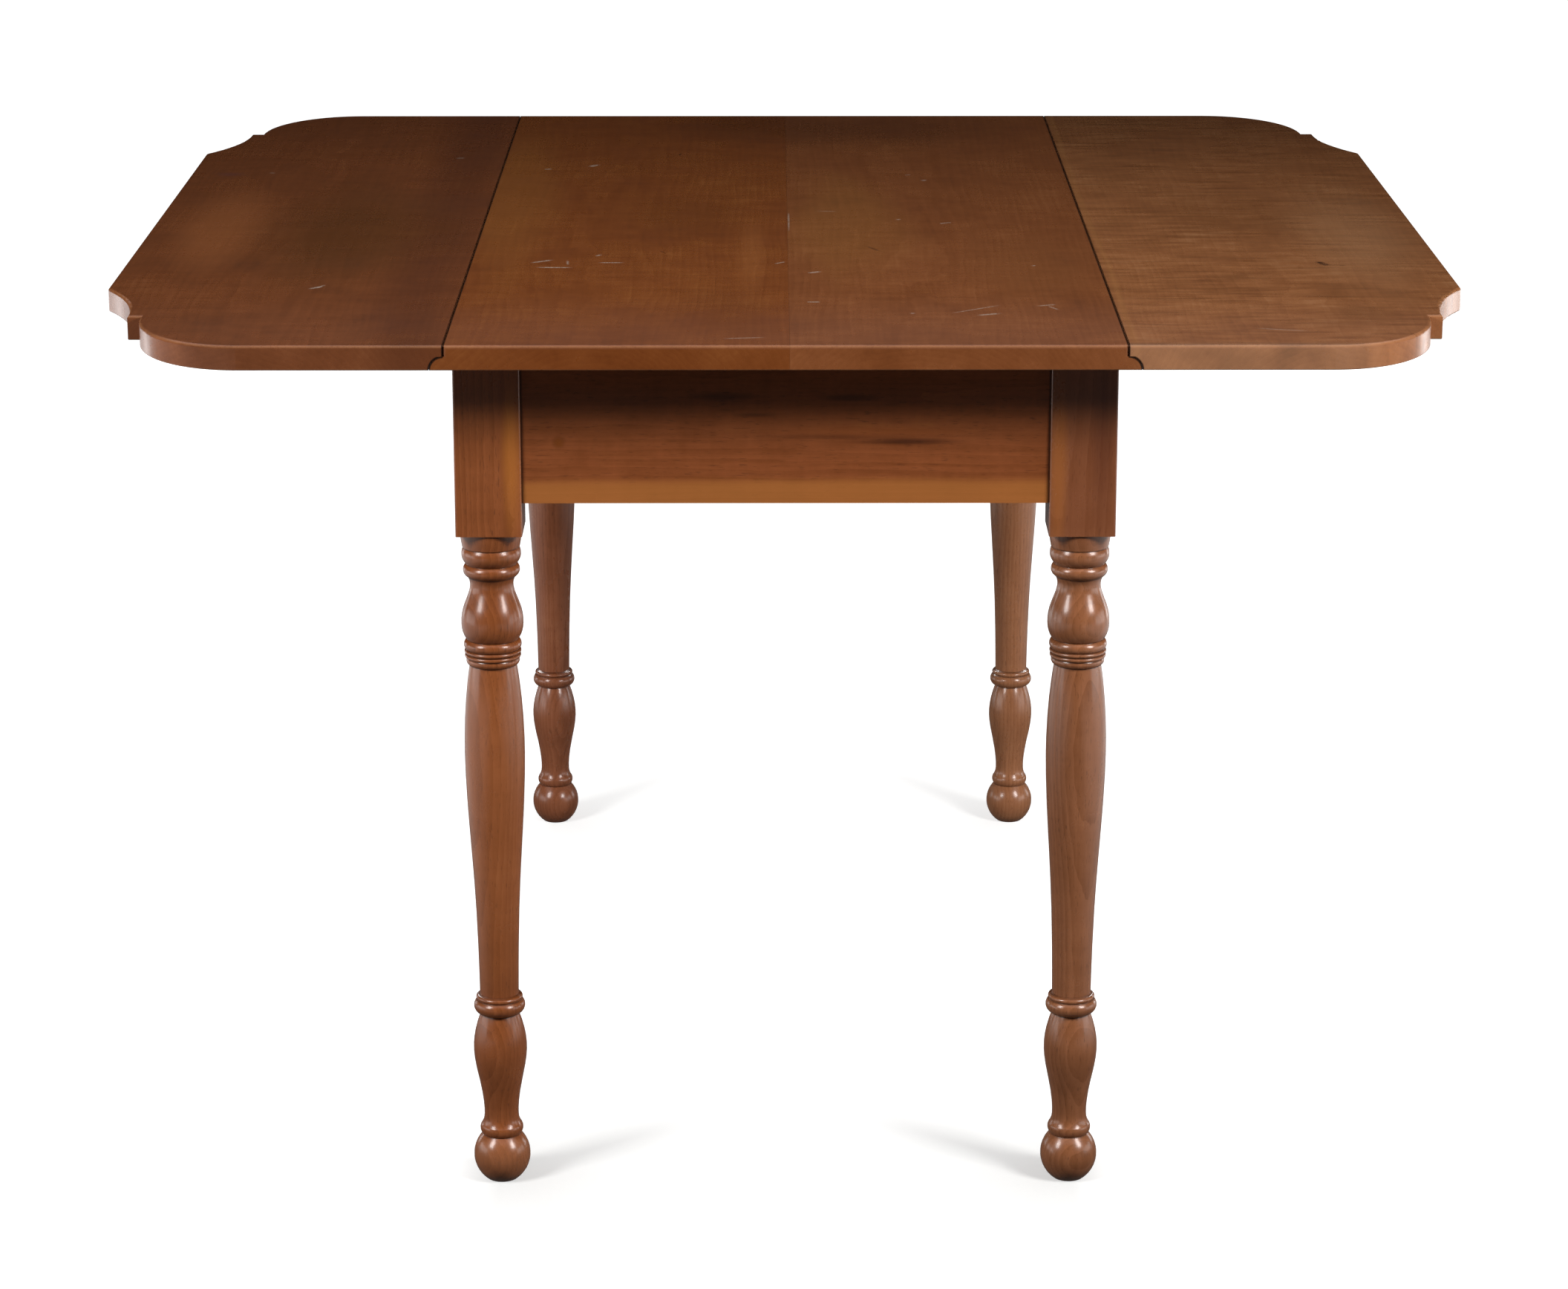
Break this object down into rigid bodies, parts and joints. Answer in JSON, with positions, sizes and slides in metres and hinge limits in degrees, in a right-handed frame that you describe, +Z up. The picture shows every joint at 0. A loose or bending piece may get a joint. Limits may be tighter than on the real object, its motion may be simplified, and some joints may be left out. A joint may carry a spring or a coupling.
{
  "type": "pembroke drop-leaf table",
  "caption": "Pembroke table on turned legs: fixed centre top, rule-jointed drop leaves with shaped corners, and wooden brackets that swing out of the side rails to carry the leaves.",
  "frame": {"origin": "on the floor, midway between the four feet", "axes": "+X across the table from the left leaf to the right leaf, +Y from the front end apron to the rear one, +Z up"},
  "size_m": [1.132, 1.13, 0.737],
  "materials": {
    "top_wood": "stained and lacquered, satin gloss",
    "leaf_wood": "stained and lacquered, satin gloss",
    "leg_wood": "turned, stained and lacquered, satin gloss",
    "apron_wood": "stained and lacquered, satin",
    "inner_wood": "planed, thin stain",
    "hinge_iron": "dark, worn",
    "screw_steel": "dulled"
  },
  "bodies": {
    "frame": {"top_board_left": "top_wood", "top_board_right": "top_wood", "front_left_leg": "leg_wood", "front_right_leg": "leg_wood", "rear_left_leg": "leg_wood", "rear_right_leg": "leg_wood", "front_apron": "apron_wood", "rear_apron": "apron_wood", "left_side_rail": "inner_wood", "right_side_rail": "inner_wood", "left_front_fly_end": "apron_wood", "left_rear_fly_end": "apron_wood", "left_fly_middle": "apron_wood", "right_front_fly_end": "apron_wood", "right_rear_fly_end": "apron_wood", "right_fly_middle": "apron_wood", "bracket_pins": "hinge_iron", "left_hinge_plates": "hinge_iron", "right_hinge_plates": "hinge_iron", "left_hinge_pins": "hinge_iron", "right_hinge_pins": "hinge_iron", "hinge_plate_screws": "screw_steel", "screw_blocks": "inner_wood", "top_screws": "screw_steel", "fly_rail_screws": "screw_steel"},
    "left_leaf_body": {"left_leaf": "leaf_wood", "left_hinge_straps": "hinge_iron", "left_strap_screws": "screw_steel"},
    "right_leaf_body": {"right_leaf": "leaf_wood", "right_hinge_straps": "hinge_iron", "right_strap_screws": "screw_steel"},
    "left_front_bracket_body": {"left_front_bracket": "apron_wood"},
    "left_rear_bracket_body": {"left_rear_bracket": "apron_wood"},
    "right_front_bracket_body": {"right_front_bracket": "apron_wood"},
    "right_rear_bracket_body": {"right_rear_bracket": "apron_wood"}
  },
  "joints": [
    {"name": "left_leaf_drop", "type": "hinge", "parent": "frame", "child": "left_leaf_body", "pos_m": [-0.27, 0, 0.717], "axis": [0, 1, 0], "range_deg": [-90, 0]},
    {"name": "right_leaf_drop", "type": "hinge", "parent": "frame", "child": "right_leaf_body", "pos_m": [0.27, 0, 0.717], "axis": [0, -1, 0], "range_deg": [-90, 0]},
    {"name": "left_front_bracket_swing", "type": "hinge", "parent": "frame", "child": "left_front_bracket_body", "pos_m": [-0.2535, -0.27, 0.656], "axis": [0, 0, 1], "range_deg": [0, 90]},
    {"name": "left_rear_bracket_swing", "type": "hinge", "parent": "frame", "child": "left_rear_bracket_body", "pos_m": [-0.2535, 0.27, 0.656], "axis": [0, 0, -1], "range_deg": [0, 90]},
    {"name": "right_front_bracket_swing", "type": "hinge", "parent": "frame", "child": "right_front_bracket_body", "pos_m": [0.2535, -0.27, 0.656], "axis": [0, 0, -1], "range_deg": [0, 90]},
    {"name": "right_rear_bracket_swing", "type": "hinge", "parent": "frame", "child": "right_rear_bracket_body", "pos_m": [0.2535, 0.27, 0.656], "axis": [0, 0, 1], "range_deg": [0, 90]}
  ]
}
